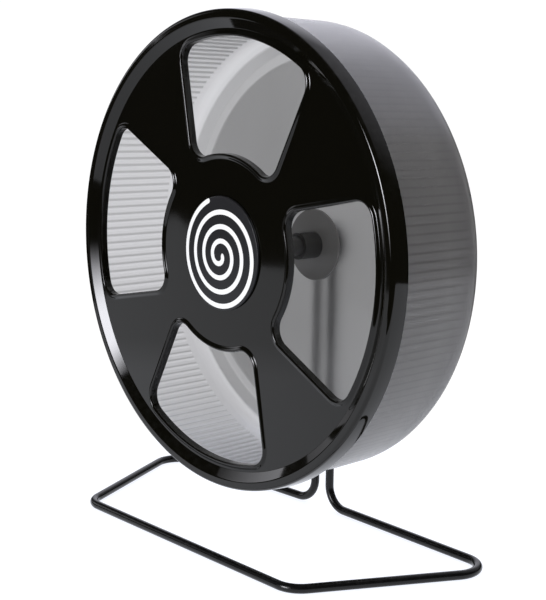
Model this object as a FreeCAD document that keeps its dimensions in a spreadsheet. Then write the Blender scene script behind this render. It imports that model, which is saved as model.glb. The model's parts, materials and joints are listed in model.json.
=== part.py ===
"""Exercise wheel for small rodents.

A smoky ribbed drum behind a black front plate with four windows turns on an axle that a bent-wire stand
carries from behind.  Millimetres, +Z up, +X to the right seen from the front, +Y towards the back.  The
origin lies on the floor, in the middle of the footprint.
"""
import FreeCAD, Part
import math
import os
from types import SimpleNamespace
import Sketcher
from FreeCAD import Placement, Rotation, Vector

# Driving dimensions, in millimetres and degrees
SIZES = {
    # Rim of the front plate
    "wheel_radius": 140.0,
    "skirt_flare": 0.9,
    "skirt_depth": 11.2,
    "skirt_wall": 2.0,
    "crest_width": 5.0,
    "crest_round": 2.2,
    "bevel_width": 5.6,
    "rim_wall": 2.8,
    # Recessed web of the front plate and its windows
    "web_recess": 3.7,
    "web_thickness": 2.8,
    "window_count": 4,
    "window_turn": 8.5,
    "window_margin": 4.4,
    "hub_disc_radius": 58.4,
    "window_side_angle": 19.3,
    "window_side_offset": 17.2,
    "window_corner": 10.5,
    "window_round": 3.6,
    "lip_width": 2.0,
    "lip_height": 1.5,
    # Boss behind the middle of the front plate
    "boss_radius": 11.0,
    "well_radius": 9.0,
    "well_depth": 9.8,
    "tube_seat": 6.0,
    # Drum
    "drum_depth": 80.0,
    "drum_wall": 2.2,
    "drum_draft": 1.4,
    "drum_corner": 8.0,
    "back_wall": 1.8,
    "ledge_width": 9.0,
    "step_run": 5.4,
    "step_depth": 4.7,
    "rib_count": 176,
    "rib_height": 0.8,
    "rib_width": 1.8,
    "rib_flank": 24.0,
    "front_band": 2.8,
    "back_band": 10.0,
    # Axle and bearings
    "bolt_radius": 3.0,
    "bolt_head_radius": 5.0,
    "bolt_head_height": 4.0,
    "bolt_socket": 5.0,
    "bolt_socket_depth": 2.4,
    "sleeve_radius": 4.0,
    "bush_wall": 1.45,
    "bush_length": 10.0,
    "bush_flange": 1.0,
    "bush_flange_radius": 6.8,
    "washer_radius": 7.0,
    "washer_thickness": 1.2,
    "thrust_washer": 0.8,
    # Hub tube, rear flange and cap
    "tube_radius": 6.1,
    "tube_bore_gap": 0.5,
    "collar_radius": 8.25,
    "collar_length": 13.7,
    "spigot_radius": 7.0,
    "spigot_over": 2.4,
    "flange_radius": 22.4,
    "flange_thickness": 1.2,
    "flange_bevel": 0.4,
    "ring_radius": 11.0,
    "ring_thickness": 1.2,
    "cap_radius": 33.7,
    "cap_edge": 1.5,
    "cap_crown": 1.3,
    "cap_bevel": 0.6,
    "cap_skin": 1.7,
    "cap_plug_depth": 5.8,
    "cap_plug_wall": 1.3,
    # Clamp on the uprights
    "head_radius": 14.0,
    "front_cheek": 1.95,
    "cover_thickness": 4.5,
    "head_bevel": 1.0,
    "nut_flats": 10.0,
    "nut_thickness": 4.0,
    "nut_washer_radius": 6.0,
    "nut_washer": 1.0,
    "bolt_over": 0.5,
    "screw_rise": 9.5,
    "screw_radius": 1.5,
    "screw_head_radius": 2.8,
    "screw_head_height": 2.0,
    "screw_length": 8.0,
    # Stand
    "wire_radius": 2.65,
    "floor_gap": 31.5,
    "upright_spacing": 13.4,
    "upright_over": 8.5,
    "upright_bend": 14.0,
    "base_bend": 16.0,
    "back_half_width": 151.8,
    "back_rake": 5.4,
    "front_half_width": 96.5,
    "front_reach": 26.35,
    # Clearances
    "running_gap": 0.05,
    "fit_gap": 0.05,
    "thrust_gap": 0.2,
    "drum_gap": 0.2,
}

FULL_TURN = 360.0


class Size:
    """A number together with the sheet expression that gives it."""

    def __init__(self, value, text):
        self.value = value
        self.text = text

    def __add__(self, other):
        return joined(self, "+", other, self.value + number(other))

    def __sub__(self, other):
        return joined(self, "-", other, self.value - number(other))

    def __mul__(self, other):
        return joined(self, "*", other, self.value * number(other))

    def __truediv__(self, other):
        return joined(self, "/", other, self.value / number(other))

    def __neg__(self):
        return Size(-self.value, f"(-{self.text})")


def number(size):
    return size.value if isinstance(size, Size) else size


def words(size):
    return size.text if isinstance(size, Size) else repr(size)


def joined(left, sign, right, value):
    return Size(value, f"({words(left)} {sign} {words(right)})")


doc = FreeCAD.newDocument("exercise_wheel")
sheet = doc.addObject("Spreadsheet::Sheet", "Sizes")
for row, (alias, value) in enumerate(SIZES.items(), start=1):
    sheet.set(f"A{row}", alias)
    sheet.set(f"B{row}", str(value))
    sheet.setAlias(f"B{row}", alias)
doc.recompute()
size = SimpleNamespace(**{alias: Size(value, f"Sizes.{alias}") for alias, value in SIZES.items()})
ZERO = Size(0.0, "0")

# Depths along the axle, counted backwards from the front plane of the rim
web_back = size.web_recess + size.web_thickness
well_floor = size.web_recess + size.well_depth
front_washer_back = well_floor - size.bush_flange - size.thrust_gap
bolt_head_back = front_washer_back - size.washer_thickness
tube_front = well_floor + size.bush_length + size.fit_gap
boss_back = tube_front + size.tube_seat
wall_inner = size.drum_depth - size.back_wall
flange_front = wall_inner - size.flange_thickness
spigot_back = size.drum_depth + size.spigot_over
rear_bush_back = spigot_back + size.bush_flange
thrust_front = rear_bush_back + size.thrust_gap
head_front = thrust_front + size.thrust_washer
upright_depth = head_front + size.front_cheek + size.wire_radius
cover_back = upright_depth + size.cover_thickness
nut_front = cover_back + size.nut_washer
bolt_end = nut_front + size.nut_thickness + size.bolt_over

# Radii shared by pieces that fit each other
bevel_inner = size.wheel_radius - size.crest_width - size.bevel_width
window_outer = bevel_inner - size.window_margin
drum_front_radius = size.wheel_radius - size.skirt_wall - size.drum_gap
drum_back_radius = drum_front_radius - size.drum_draft
bush_bore = size.sleeve_radius + size.running_gap
bush_radius = bush_bore + size.bush_wall
bush_seat = bush_radius + size.fit_gap
bolt_hole = size.bolt_radius + size.fit_gap
screw_hole = size.screw_radius + size.fit_gap

# Place of the wheel over the footprint
axle_height = size.floor_gap + size.wheel_radius + size.skirt_flare
front_edge = size.front_reach + size.wire_radius
rim_y = (front_edge - bolt_end) / 2.0
upright_y = rim_y + upright_depth

nodes = []


def bind(item, path, amount):
    """Tie a property to the sheet."""
    item.setExpression(path, amount.text)


def new_body(name):
    """A piece on the axle: local Y is the depth behind the rim, local Z is up from the axle."""
    body = doc.addObject("PartDesign::Body", name)
    body.Label = name
    body.Placement = Placement(Vector(0, rim_y.value, axle_height.value), Rotation())
    bind(body, "Placement.Base.y", rim_y)
    bind(body, "Placement.Base.z", axle_height)
    nodes.append(body)
    return body


def datum(body, role):
    return next(item for item in body.Origin.OriginFeatures if item.Role == role)


def new_sketch(body, name, role, lift=None, turn=None):
    """A sketch on an origin plane, moved along and turned about the plane's normal."""
    sketch = body.newObject("Sketcher::SketchObject", f"{body.Name}_{name}")
    sketch.AttachmentSupport = (datum(body, role), [""])
    sketch.MapMode = "FlatFace"
    shift = Vector(0, 0, number(lift) if lift else 0.0)
    sketch.AttachmentOffset = Placement(shift, Rotation(Vector(0, 0, 1), number(turn) if turn else 0.0))
    if lift:
        bind(sketch, "AttachmentOffset.Base.z", lift)
    if turn:
        bind(sketch, "AttachmentOffset.Rotation.Angle", turn)
    return sketch


def hold(sketch, kind, where, amount):
    """Add a constraint whose value comes from the sheet."""
    value = math.radians(amount.value) if kind == "Angle" else amount.value
    index = sketch.addConstraint(Sketcher.Constraint(kind, *where, value))
    sketch.setExpression(f"Constraints[{index}]", amount.text)


def hold_point(sketch, geometry, end, across, up):
    """Fix a point by its distances from the sketch's origin."""
    for kind, axis, amount in (("DistanceX", -2, across), ("DistanceY", -1, up)):
        if amount.value == 0.0:
            sketch.addConstraint(Sketcher.Constraint("PointOnObject", geometry, end, axis))
        else:
            hold(sketch, kind, (-1, 1, geometry, end), amount)


def dome_arc(start, end):
    """Arc between two profile points whose centre lies on the turning axis."""
    low, high = sorted((start, end), key=lambda point: point[1].value)
    rise = high[0].value - low[0].value
    radius = (high[1].value ** 2 + rise ** 2) / (2.0 * rise)
    spread = math.asin(high[1].value / radius)
    circle = Part.Circle(Vector(low[0].value + radius, 0, 0), Vector(0, 0, 1), radius)
    return Part.ArcOfCircle(circle, math.pi - spread, math.pi)


def draw_profile(sketch, points, dome=None):
    """Closed profile, straight from point to point; after the point numbered dome it is a dome's arc."""
    ends = []
    for index, start in enumerate(points):
        end = points[(index + 1) % len(points)]
        if index == dome:
            geometry = sketch.addGeometry(dome_arc(start, end))
            sketch.addConstraint(Sketcher.Constraint("PointOnObject", geometry, 3, -1))
            first = 1 if start[1].value > end[1].value else 2
        else:
            corners = [Vector(point[0].value, point[1].value, 0) for point in (start, end)]
            geometry = sketch.addGeometry(Part.LineSegment(*corners))
            first = 1
        ends.append((geometry, first, 3 - first))
    for index, (geometry, first, last) in enumerate(ends):
        following, following_first, _ = ends[(index + 1) % len(ends)]
        sketch.addConstraint(Sketcher.Constraint("Coincident", geometry, last, following, following_first))
        hold_point(sketch, geometry, first, *points[index])


def revolve(body, points, kind="Revolution", name="turned", dome=None):
    """Turn a profile of (depth, radius) points about the axle."""
    sketch = new_sketch(body, f"{name}_profile", "YZ_Plane")
    draw_profile(sketch, points, dome)
    feature = body.newObject(f"PartDesign::{kind}", f"{body.Name}_{name}")
    feature.Profile = sketch
    feature.ReferenceAxis = (sketch, ["H_Axis"])
    feature.Angle = FULL_TURN
    doc.recompute()
    return feature


def turned_piece(name, points, dome=None):
    body = new_body(name)
    return body, revolve(body, points, dome=dome)


def ring_profile(inner, outer, front, back):
    return [(front, inner), (front, outer), (back, outer), (back, inner)]


def extrude(body, sketch, kind, name, length=None, reverse=False):
    """Pad or pocket a sketch, through everything when no length is given."""
    feature = body.newObject(f"PartDesign::{kind}", f"{body.Name}_{name}")
    feature.Profile = sketch
    feature.Reversed = reverse
    if length is None:
        feature.Type = "ThroughAll"
    else:
        feature.Length = length.value
        bind(feature, "Length", length)
    doc.recompute()
    return feature


def pattern_round(body, feature, count, name):
    """Repeat a feature evenly about the axle."""
    pattern = body.newObject("PartDesign::PolarPattern", f"{body.Name}_{name}")
    pattern.Originals = [feature]
    pattern.Axis = (datum(body, "Y_Axis"), [""])
    pattern.Angle = FULL_TURN
    pattern.Occurrences = int(count.value)
    bind(pattern, "Occurrences", count)
    body.Tip = pattern
    doc.recompute()
    return pattern


def ring_edges(feature, rings):
    """Names of the circular edges at the given (depth, radius) places."""
    found = []
    for index, edge in enumerate(feature.Shape.Edges, start=1):
        if edge.Degenerated or not isinstance(edge.Curve, Part.Circle):
            continue
        for depth, radius in rings:
            same_depth = abs(edge.Curve.Center.y - depth.value) < 0.01
            same_radius = abs(edge.Curve.Radius - radius.value) < 0.01
            if same_depth and same_radius:
                found.append(f"Edge{index}")
    if not found:
        raise RuntimeError(f"{feature.Name} has no such edge")
    return found


def soften(body, feature, edges, amount, kind="Fillet"):
    """Round or bevel the named edges."""
    dress = body.newObject(f"PartDesign::{kind}", f"{body.Name}_{kind.lower()}_{len(body.Group)}")
    dress.Base = (feature, edges)
    path = "Radius" if kind == "Fillet" else "Size"
    setattr(dress, path, amount.value)
    bind(dress, path, amount)
    doc.recompute()
    return dress


def draw_window(sketch, grow):
    """One window: two arcs about the axle, two straight sides, four round corners, all moved out by grow."""
    outer_radius = window_outer + grow
    inner_radius = size.hub_disc_radius - grow
    corner_radius = size.window_corner + grow
    side_offset = size.window_side_offset + grow
    lean = math.radians(size.window_side_angle.value)
    outer, inner = outer_radius.value, inner_radius.value
    corner, offset = corner_radius.value, side_offset.value
    normal = Vector(math.cos(lean), -math.sin(lean), 0)
    along = Vector(math.sin(lean), math.cos(lean), 0)
    centre_offset = offset - corner
    run_out = math.sqrt((outer - corner) ** 2 - centre_offset ** 2)
    run_in = math.sqrt((inner + corner) ** 2 - centre_offset ** 2)
    top = normal * centre_offset + along * run_out
    low = normal * centre_offset + along * run_in
    top_angle = math.atan2(top.y, top.x)
    low_angle = math.atan2(low.y, low.x)

    def mirrored(point):
        return Vector(-point.x, point.y, 0)

    def arc(centre, radius, start, end):
        return Part.ArcOfCircle(Part.Circle(centre, Vector(0, 0, 1), radius), start, end)

    side_low = normal * offset + along * run_in
    side_top = normal * offset + along * run_out
    right = sketch.addGeometry(Part.LineSegment(side_low, side_top))
    left = sketch.addGeometry(Part.LineSegment(mirrored(side_low), mirrored(side_top)))
    outer_arc = sketch.addGeometry(arc(Vector(), outer, top_angle, math.pi - top_angle))
    inner_arc = sketch.addGeometry(arc(Vector(), inner, low_angle, math.pi - low_angle))
    right_top = sketch.addGeometry(arc(top, corner, -lean, top_angle))
    left_top = sketch.addGeometry(arc(mirrored(top), corner, math.pi - top_angle, math.pi + lean))
    left_low = sketch.addGeometry(arc(mirrored(low), corner, math.pi + lean, 2 * math.pi - low_angle))
    right_low = sketch.addGeometry(arc(low, corner, math.pi + low_angle, 2 * math.pi - lean))
    for joint in (
        (right, 2, right_top, 1),
        (right_top, 2, outer_arc, 1),
        (outer_arc, 2, left_top, 1),
        (left_top, 2, left, 2),
        (left, 1, left_low, 1),
        (left_low, 2, inner_arc, 2),
        (inner_arc, 1, right_low, 1),
        (right_low, 2, right, 1),
    ):
        sketch.addConstraint(Sketcher.Constraint("Tangent", *joint))
    for round_edge in (outer_arc, inner_arc):
        sketch.addConstraint(Sketcher.Constraint("Coincident", round_edge, 3, -1, 1))
    hold(sketch, "Radius", (outer_arc,), outer_radius)
    hold(sketch, "Radius", (inner_arc,), inner_radius)
    for corner_arc in (right_top, left_top, left_low, right_low):
        hold(sketch, "Radius", (corner_arc,), corner_radius)
    hold(sketch, "Angle", (right,), Size(90.0, "90") - size.window_side_angle)
    hold(sketch, "Angle", (left,), size.window_side_angle + 90.0)
    for side in (right, left):
        hold(sketch, "Distance", (-1, 1, side), side_offset)


def draw_hexagon(sketch, flats):
    """Regular hexagon about the sketch's origin with two flats upright."""
    radius = flats.value / math.sqrt(3.0)
    corners = [
        Vector(radius * math.sin(math.radians(turn)), radius * math.cos(math.radians(turn)), 0)
        for turn in range(0, 360, 60)
    ]
    sides = [sketch.addGeometry(Part.LineSegment(corners[i], corners[(i + 1) % 6])) for i in range(6)]
    circle = sketch.addGeometry(Part.Circle(Vector(), Vector(0, 0, 1), radius), True)
    sketch.addConstraint(Sketcher.Constraint("Coincident", circle, 3, -1, 1))
    for index, side in enumerate(sides):
        sketch.addConstraint(Sketcher.Constraint("Coincident", side, 2, sides[(index + 1) % 6], 1))
        sketch.addConstraint(Sketcher.Constraint("PointOnObject", side, 1, circle))
        if index:
            sketch.addConstraint(Sketcher.Constraint("Equal", side, sides[0]))
    sketch.addConstraint(Sketcher.Constraint("PointOnObject", sides[0], 1, -2))
    hold(sketch, "Radius", (circle,), flats / math.sqrt(3.0))


def draw_circles(sketch, centres, radius):
    """Circles of one radius at (across, up) places."""
    for across, up in centres:
        circle = sketch.addGeometry(
            Part.Circle(Vector(across.value, up.value, 0), Vector(0, 0, 1), radius.value)
        )
        hold(sketch, "Radius", (circle,), radius)
        hold_point(sketch, circle, 3, across, up)


def make_front_plate():
    """Black plate: rolled rim and skirt, recessed web, four lipped windows and a boss for the front bush."""
    channel_inner = size.wheel_radius - size.crest_width - size.fit_gap
    profile = [
        (ZERO, size.wheel_radius),
        (size.skirt_depth, size.wheel_radius + size.skirt_flare),
        (size.skirt_depth, size.wheel_radius + size.skirt_flare - size.skirt_wall),
        (size.rim_wall, size.wheel_radius - size.skirt_wall),
        (size.rim_wall, channel_inner),
        (web_back, channel_inner - size.bevel_width),
        (web_back, size.boss_radius),
        (boss_back, size.boss_radius),
        (boss_back, size.tube_radius + size.fit_gap),
        (tube_front, size.tube_radius + size.fit_gap),
        (tube_front, bush_seat),
        (well_floor, bush_seat),
        (well_floor, size.well_radius),
        (size.web_recess, size.well_radius),
        (size.web_recess, bevel_inner),
        (ZERO, size.wheel_radius - size.crest_width),
    ]
    body, plate = turned_piece("front_plate", profile)
    crest_edges = [(ZERO, size.wheel_radius), (ZERO, size.wheel_radius - size.crest_width)]
    plate = soften(body, plate, ring_edges(plate, crest_edges), size.crest_round)
    lip_root = size.web_thickness / 2.0
    lip_sketch = new_sketch(body, "lip", "XZ_Plane", lip_root - web_back, -size.window_turn)
    draw_window(lip_sketch, size.lip_width)
    lip = extrude(body, lip_sketch, "Pad", "lip", lip_root + size.lip_height, reverse=True)
    pattern_round(body, lip, size.window_count, "lips")
    window_sketch = new_sketch(body, "window", "XZ_Plane", ZERO, -size.window_turn)
    draw_window(window_sketch, ZERO)
    window = extrude(body, window_sketch, "Pocket", "window")
    windows = pattern_round(body, window, size.window_count, "windows")
    front_edges = []
    for index, edge in enumerate(windows.Shape.Edges, start=1):
        middle = edge.valueAt((edge.FirstParameter + edge.LastParameter) / 2.0)
        on_web = all(abs(vertex.Y - size.web_recess.value) < 0.01 for vertex in edge.Vertexes)
        reach = math.hypot(middle.x, middle.z)
        if on_web and size.hub_disc_radius.value - 0.1 < reach < window_outer.value + 0.1:
            front_edges.append(f"Edge{index}")
    soften(body, windows, front_edges, size.window_round)


def make_drum():
    """Smoky drum: drafted wall with ribs to run on, rounded back corner and a stepped back wall."""
    drum_front = size.rim_wall + size.drum_gap
    rim_back = size.drum_depth - size.step_depth
    rim_inner = rim_back - size.back_wall
    step_outer = drum_back_radius - size.ledge_width
    step_inner = step_outer - size.step_run
    profile = [
        (drum_front, drum_front_radius),
        (rim_back, drum_back_radius),
        (rim_back, step_outer),
        (size.drum_depth, step_inner),
        (size.drum_depth, size.spigot_radius + size.fit_gap),
        (wall_inner, size.spigot_radius + size.fit_gap),
        (wall_inner, step_inner),
        (rim_inner, step_outer),
        (rim_inner, drum_back_radius - size.drum_wall),
        (drum_front, drum_front_radius - size.drum_wall),
    ]
    body, drum = turned_piece("drum", profile)
    drum = soften(body, drum, ring_edges(drum, [(rim_back, drum_back_radius)]), size.drum_corner)
    inner_corner = ring_edges(drum, [(rim_inner, drum_back_radius - size.drum_wall)])
    drum = soften(body, drum, inner_corner, size.drum_corner - size.drum_wall)
    rib_front = size.skirt_depth + size.front_band
    rib_back = rim_inner - size.back_band

    def wall_radius(depth):
        """Inner radius of the drafted wall at a depth."""
        share = (depth - drum_front) / (rim_inner - drum_front)
        return drum_front_radius - size.drum_wall - size.drum_draft * share

    sketch = new_sketch(body, "rib", "YZ_Plane")
    root = size.drum_wall / 2.0
    rib_outline = [
        (rib_front, wall_radius(rib_front) + root),
        (rib_back, wall_radius(rib_back) + root),
        (rib_back, wall_radius(rib_back) - size.rib_height),
        (rib_front, wall_radius(rib_front) - size.rib_height),
    ]
    draw_profile(sketch, rib_outline)
    rib = body.newObject("PartDesign::Pad", "drum_rib")
    rib.Profile = sketch
    rib.Midplane = True
    rib.Length = size.rib_width.value
    bind(rib, "Length", size.rib_width)
    rib.TaperAngle = -size.rib_flank.value
    bind(rib, "TaperAngle", -size.rib_flank)
    doc.recompute()
    pattern_round(body, rib, size.rib_count, "ribs")


def make_hub():
    """Tube between plate and back wall, its flange and retaining ring, both bushes and the cap."""
    bore = size.sleeve_radius + size.tube_bore_gap
    bush_stop = spigot_back - size.bush_length - size.fit_gap
    tube = [
        (tube_front + size.fit_gap, size.tube_radius),
        (flange_front - size.collar_length, size.tube_radius),
        (flange_front - size.collar_length, size.collar_radius),
        (flange_front, size.collar_radius),
        (flange_front, size.spigot_radius),
        (spigot_back, size.spigot_radius),
        (spigot_back, bush_seat),
        (bush_stop, bush_seat),
        (bush_stop, bore),
        (tube_front + size.fit_gap, bore),
    ]
    turned_piece("hub_tube", tube)
    spigot_hole = size.spigot_radius + size.fit_gap
    flange = ring_profile(spigot_hole, size.flange_radius, flange_front, wall_inner)
    body, disc = turned_piece("rear_flange", flange)
    soften(body, disc, ring_edges(disc, [(flange_front, size.flange_radius)]), size.flange_bevel, "Chamfer")
    ring_back = size.drum_depth + size.ring_thickness
    turned_piece("retaining_ring", ring_profile(spigot_hole, size.ring_radius, size.drum_depth, ring_back))
    front = [
        (well_floor - size.bush_flange, bush_bore),
        (well_floor - size.bush_flange, size.bush_flange_radius),
        (well_floor, size.bush_flange_radius),
        (well_floor, bush_radius),
        (well_floor + size.bush_length, bush_radius),
        (well_floor + size.bush_length, bush_bore),
    ]
    turned_piece("front_bush", front)
    rear = [
        (spigot_back - size.bush_length, bush_bore),
        (spigot_back - size.bush_length, bush_radius),
        (spigot_back, bush_radius),
        (spigot_back, size.bush_flange_radius),
        (rear_bush_back, size.bush_flange_radius),
        (rear_bush_back, bush_bore),
    ]
    turned_piece("rear_bush", rear)
    crown = size.web_recess - size.cap_edge - size.cap_crown
    edge = size.web_recess - size.cap_edge
    plug = size.well_radius - size.fit_gap
    plug_back = size.web_recess + size.cap_plug_depth
    cap = [
        (crown, ZERO),
        (edge, size.cap_radius),
        (size.web_recess, size.cap_radius),
        (size.web_recess, plug),
        (plug_back, plug),
        (plug_back, plug - size.cap_plug_wall),
        (crown + size.cap_skin, plug - size.cap_plug_wall),
        (crown + size.cap_skin, ZERO),
    ]
    body, shell = turned_piece("hub_cap", cap, dome=0)
    soften(body, shell, ring_edges(shell, [(edge, size.cap_radius)]), size.cap_bevel, "Chamfer")


def make_axle():
    """Bolt, sleeve, washers and nut that stay with the stand."""
    head_top = bolt_head_back - size.bolt_head_height
    bolt = [
        (head_top, ZERO),
        (head_top, size.bolt_head_radius),
        (bolt_head_back, size.bolt_head_radius),
        (bolt_head_back, size.bolt_radius),
        (bolt_end, size.bolt_radius),
        (bolt_end, ZERO),
    ]
    body, _ = turned_piece("axle_bolt", bolt)
    socket = new_sketch(body, "socket", "XZ_Plane", -head_top)
    draw_hexagon(socket, size.bolt_socket)
    extrude(body, socket, "Pocket", "socket", size.bolt_socket_depth)
    turned_piece("axle_sleeve", ring_profile(bolt_hole, size.sleeve_radius, front_washer_back, head_front))
    front = ring_profile(bolt_hole, size.washer_radius, bolt_head_back, front_washer_back)
    turned_piece("front_washer", front)
    sleeve_hole = size.sleeve_radius + size.fit_gap
    turned_piece("thrust_washer", ring_profile(sleeve_hole, size.washer_radius, thrust_front, head_front))
    turned_piece("nut_washer", ring_profile(bolt_hole, size.nut_washer_radius, cover_back, nut_front))
    body = new_body("axle_nut")
    nut_sketch = new_sketch(body, "flats", "XZ_Plane", -nut_front)
    draw_hexagon(nut_sketch, size.nut_flats)
    extrude(body, nut_sketch, "Pad", "flats", size.nut_thickness, reverse=True)
    hole = new_sketch(body, "hole", "XZ_Plane", -nut_front)
    draw_circles(hole, [(ZERO, ZERO)], bolt_hole)
    extrude(body, hole, "Pocket", "hole")


def screw_places():
    """Middles of the clamp screws, above and below the axle between the uprights."""
    return [(ZERO, size.screw_rise), (ZERO, -size.screw_rise)]


def cut_wire_seats(body):
    """Two blind bores, open at the bottom, for the upright ends."""
    half = size.upright_spacing / 2.0
    seats = new_sketch(body, "seats", "XY_Plane", size.upright_over + size.fit_gap)
    draw_circles(seats, [(half, upright_depth), (-half, upright_depth)], size.wire_radius + size.fit_gap)
    extrude(body, seats, "Pocket", "seats")


def make_clamp():
    """Two round halves that hold the uprights between them, and their screws."""
    screw_tip = cover_back - size.screw_length
    screw_top = cover_back + size.screw_head_height
    front_half = ring_profile(bolt_hole, size.head_radius, head_front, upright_depth)
    body, head = turned_piece("stand_head", front_half)
    soften(body, head, ring_edges(head, [(head_front, size.head_radius)]), size.head_bevel, "Chamfer")
    cut_wire_seats(body)
    holes = new_sketch(body, "screw_holes", "XZ_Plane", -upright_depth)
    draw_circles(holes, screw_places(), screw_hole)
    hole_depth = upright_depth - screw_tip + size.fit_gap
    extrude(body, holes, "Pocket", "screw_holes", hole_depth, reverse=True)
    cover = ring_profile(bolt_hole, size.head_radius, upright_depth, cover_back)
    body, shell = turned_piece("head_cover", cover)
    soften(body, shell, ring_edges(shell, [(cover_back, size.head_radius)]), size.head_bevel, "Chamfer")
    cut_wire_seats(body)
    holes = new_sketch(body, "screw_holes", "XZ_Plane", -upright_depth)
    draw_circles(holes, screw_places(), screw_hole)
    extrude(body, holes, "Pocket", "screw_holes")
    screw = [
        (screw_tip, ZERO),
        (screw_tip, size.screw_radius),
        (cover_back, size.screw_radius),
        (cover_back, size.screw_head_radius),
        (screw_top, size.screw_head_radius),
        (screw_top, ZERO),
    ]
    body, _ = turned_piece("clamp_screw", screw)
    nodes.remove(body)
    copies = []
    for across, up in screw_places():
        copy = body.Shape.copy()
        copy.translate(Vector(across.value, 0, up.value))
        copies.append(copy)
    group = doc.addObject("Part::Feature", "clamp_screws")
    group.Label = "clamp_screws"
    group.Shape = Part.makeCompound(copies)
    nodes.append(group)


def bent_path(points, radii):
    """Straight runs between the points, joined by tangent arcs of the given radii."""
    edges = []
    start = points[0]
    for before, corner, after, radius in zip(points, points[1:], points[2:], radii):
        inward = (before - corner).normalize()
        outward = (after - corner).normalize()
        half = inward.getAngle(outward) / 2.0
        reach = radius / math.tan(half)
        bisector = (inward + outward).normalize()
        first = corner + inward * reach
        last = corner + outward * reach
        middle = corner + bisector * (radius / math.sin(half) - radius)
        edges.append(Part.LineSegment(start, first).toShape())
        edges.append(Part.Arc(first, middle, last).toShape())
        start = last
    edges.append(Part.LineSegment(start, points[-1]).toShape())
    return Part.Wire(edges)


def make_stand_wire():
    """One rod: down the left upright, round the floor loop and up the right upright."""
    radius = size.wire_radius.value
    half_gap = size.upright_spacing.value / 2.0
    top = axle_height.value + size.upright_over.value
    back = upright_y.value
    corner_back = back - size.back_rake.value
    front = rim_y.value - size.front_reach.value
    right_side = [
        Vector(size.front_half_width.value, front, radius),
        Vector(size.back_half_width.value, corner_back, radius),
        Vector(half_gap, back, radius),
        Vector(half_gap, back, top),
    ]
    left_side = [Vector(-point.x, point.y, point.z) for point in reversed(right_side)]
    base, foot = size.base_bend.value, size.upright_bend.value
    path = bent_path(left_side + right_side, [foot, base, base, base, base, foot])
    section = Part.Wire(Part.makeCircle(radius, left_side[0], Vector(0, 0, -1)))
    rod = path.makePipeShell([section], True, False)
    expected = math.pi * radius ** 2 * path.Length
    if abs(rod.Volume - expected) > expected / 1000.0:
        raise RuntimeError("the rod's volume does not match its length")
    stand = doc.addObject("Part::Feature", "stand_wire")
    stand.Label = "stand_wire"
    stand.Shape = rod
    nodes.append(stand)


make_front_plate()
make_drum()
make_hub()
make_axle()
make_clamp()
make_stand_wire()
doc.recompute()

for item in doc.Objects:
    if "Invalid" in item.State or "Error" in item.State:
        raise RuntimeError(f"{item.Name} failed: {item.State}")
for node in nodes:
    if node.Shape.isNull() or not node.Shape.isValid():
        raise RuntimeError(f"{node.Label} has no valid shape")

os.makedirs("parts", exist_ok=True)
for node in nodes:
    node.Shape.exportStep(f"parts/{node.Label}.step")
    print(node.Label, len(node.Shape.Solids), round(node.Shape.Volume, 1))
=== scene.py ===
"""Looks of the exercise wheel: smoky ribbed drum, gloss black plate, spiral cap and bent-wire stand."""
import json
import math
import bmesh
import bpy
from mathutils import Matrix, Vector


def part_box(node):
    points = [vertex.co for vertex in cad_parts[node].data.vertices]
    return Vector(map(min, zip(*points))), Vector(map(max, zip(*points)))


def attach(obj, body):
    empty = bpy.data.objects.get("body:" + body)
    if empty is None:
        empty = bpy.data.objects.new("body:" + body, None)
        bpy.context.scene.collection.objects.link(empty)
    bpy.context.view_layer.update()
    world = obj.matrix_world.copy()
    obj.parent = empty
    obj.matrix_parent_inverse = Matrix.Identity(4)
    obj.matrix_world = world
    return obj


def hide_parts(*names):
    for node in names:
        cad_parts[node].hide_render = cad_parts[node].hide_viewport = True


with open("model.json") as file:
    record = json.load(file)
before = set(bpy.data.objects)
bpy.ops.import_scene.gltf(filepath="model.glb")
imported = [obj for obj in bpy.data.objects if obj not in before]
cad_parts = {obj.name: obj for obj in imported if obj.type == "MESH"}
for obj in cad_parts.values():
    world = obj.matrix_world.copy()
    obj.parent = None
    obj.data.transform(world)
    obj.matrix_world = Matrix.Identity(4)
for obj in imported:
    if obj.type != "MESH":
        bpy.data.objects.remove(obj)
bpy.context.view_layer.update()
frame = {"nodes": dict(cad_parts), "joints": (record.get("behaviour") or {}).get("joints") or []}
nodes = frame["nodes"]
scene = bpy.context.scene

# Real sizes in millimetres; depths count backwards from the front plane of the rim
MM = 0.001
RIM_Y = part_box("front_plate")[0].y
AXLE_Z = frame["joints"][0]["pos_m"][2]

# Rim and web of the front plate
WHEEL_RADIUS = 140.0
CREST_WIDTH = 5.0
CREST_ROUND = 2.2
BEVEL_WIDTH = 5.6
BEVEL_INNER = WHEEL_RADIUS - CREST_WIDTH - BEVEL_WIDTH
BEVEL_FOOT_ROUND = 0.6
BEVEL_FOOT_FLAT = 0.3
BEVEL_BACK_OFFSET = 0.05
SKIRT_FLARE = 0.9
SKIRT_DEPTH = 11.2
SKIRT_WALL = 2.0
SKIRT_ROUND = 0.5
RIM_WALL = 2.8
RIM_INNER_ROUND = 0.4
WEB_FRONT = 3.7
WEB_BACK = 6.5

# Windows of the front plate: leaning sides, a bead round the front edge and a lip behind
WINDOW_COUNT = 4
WINDOW_MARGIN = 4.4
WINDOW_OUTER = BEVEL_INNER - WINDOW_MARGIN
WINDOW_INNER = 58.4
WINDOW_LEAN = math.radians(19.3)
WINDOW_OFFSET = 17.2
WINDOW_CORNER = 10.5
WINDOW_TURN = math.radians(8.5)
BEAD_WIDTH = 3.5
BEAD_CREST = 1.1
BEAD_HEIGHT = 1.2
BEAD_FALL = 1.5
LIP_WIDTH = 2.0
LIP_BACK = 8.0
LIP_INNER_EDGE = 0.3
LIP_OUTER_EDGE = 0.4

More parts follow.
